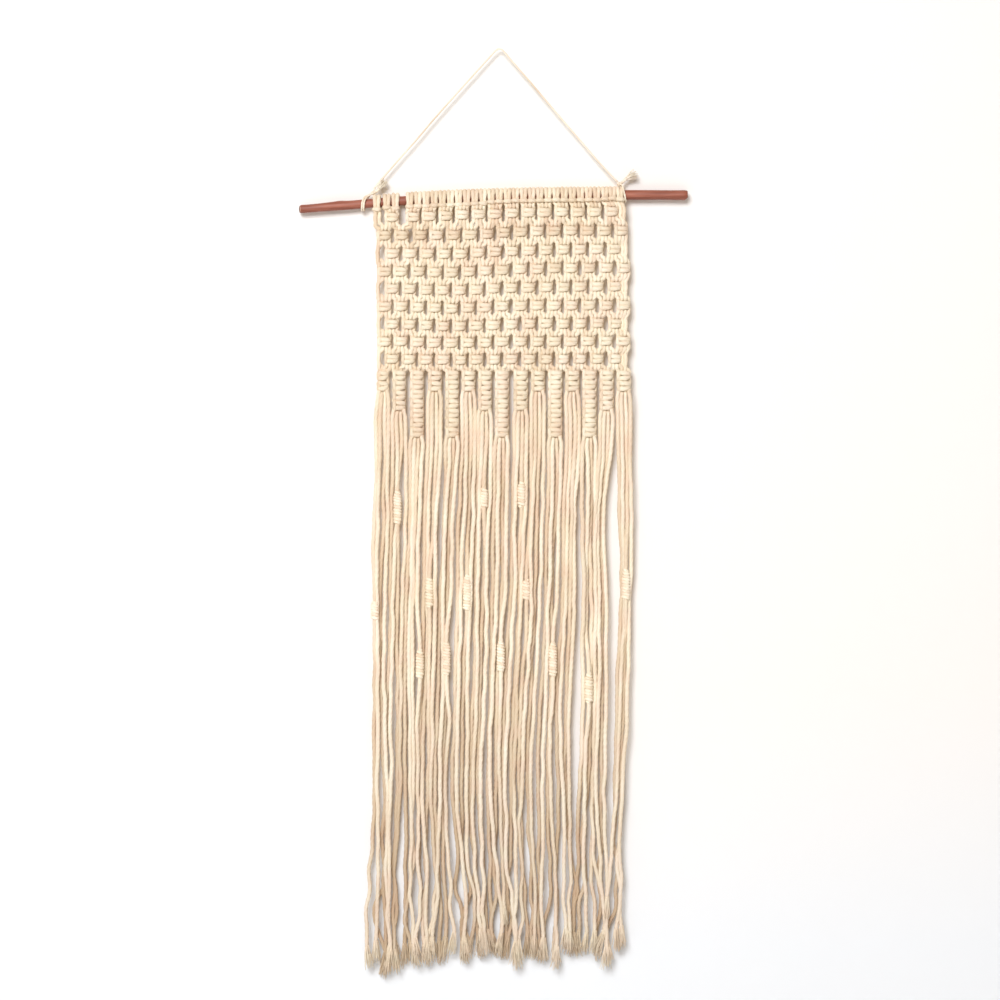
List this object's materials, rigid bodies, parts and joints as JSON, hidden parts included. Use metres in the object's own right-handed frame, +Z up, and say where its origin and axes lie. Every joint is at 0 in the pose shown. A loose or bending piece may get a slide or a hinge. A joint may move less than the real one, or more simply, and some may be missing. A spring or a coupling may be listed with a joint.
{
  "type": "macrame wall hanging with rod",
  "caption": "Knotted cotton rope wall hanging: a net of square knots, sinnets of uneven length and a long fringe, tied to a stained wooden rod that hangs from a thin cord",
  "frame": {"origin": "the point where the hanging cord bears on its nail", "axes": "+X to the viewer's right along the rod, +Y away from the viewer towards the wall, +Z up"},
  "size_m": [0.4855, 0.0259, 1.165],
  "materials": {
    "wood": "terracotta stained branch, satin",
    "cotton_rope": "natural three-ply cotton rope, matt",
    "cotton_twine": "natural cotton twine, matt"
  },
  "bodies": {
    "root": {"rod": "wood", "larks_head_01": "cotton_rope", "larks_head_02": "cotton_rope", "larks_head_03": "cotton_rope", "larks_head_04": "cotton_rope", "larks_head_05": "cotton_rope", "larks_head_06": "cotton_rope", "larks_head_07": "cotton_rope", "larks_head_08": "cotton_rope", "larks_head_09": "cotton_rope", "larks_head_10": "cotton_rope", "larks_head_11": "cotton_rope", "larks_head_12": "cotton_rope", "larks_head_13": "cotton_rope", "larks_head_14": "cotton_rope", "larks_head_15": "cotton_rope", "larks_head_16": "cotton_rope", "larks_head_17": "cotton_rope", "larks_head_18": "cotton_rope", "larks_head_19": "cotton_rope", "larks_head_20": "cotton_rope", "larks_head_21": "cotton_rope", "larks_head_22": "cotton_rope", "larks_head_23": "cotton_rope", "larks_head_24": "cotton_rope", "larks_head_25": "cotton_rope", "larks_head_26": "cotton_rope", "larks_head_27": "cotton_rope", "larks_head_28": "cotton_rope", "larks_head_29": "cotton_rope", "larks_head_30": "cotton_rope", "knotted_net": "cotton_rope", "sinnet_01": "cotton_rope", "sinnet_02": "cotton_rope", "sinnet_03": "cotton_rope", "sinnet_04": "cotton_rope", "sinnet_05": "cotton_rope", "sinnet_06": "cotton_rope", "sinnet_07": "cotton_rope", "sinnet_08": "cotton_rope", "sinnet_09": "cotton_rope", "sinnet_10": "cotton_rope", "sinnet_11": "cotton_rope", "sinnet_12": "cotton_rope", "sinnet_13": "cotton_rope", "sinnet_14": "cotton_rope", "sinnet_15": "cotton_rope", "fringe": "cotton_rope", "hanging_cord": "cotton_twine", "tie_left": "cotton_twine", "tie_right": "cotton_twine"}
  },
  "joints": []
}
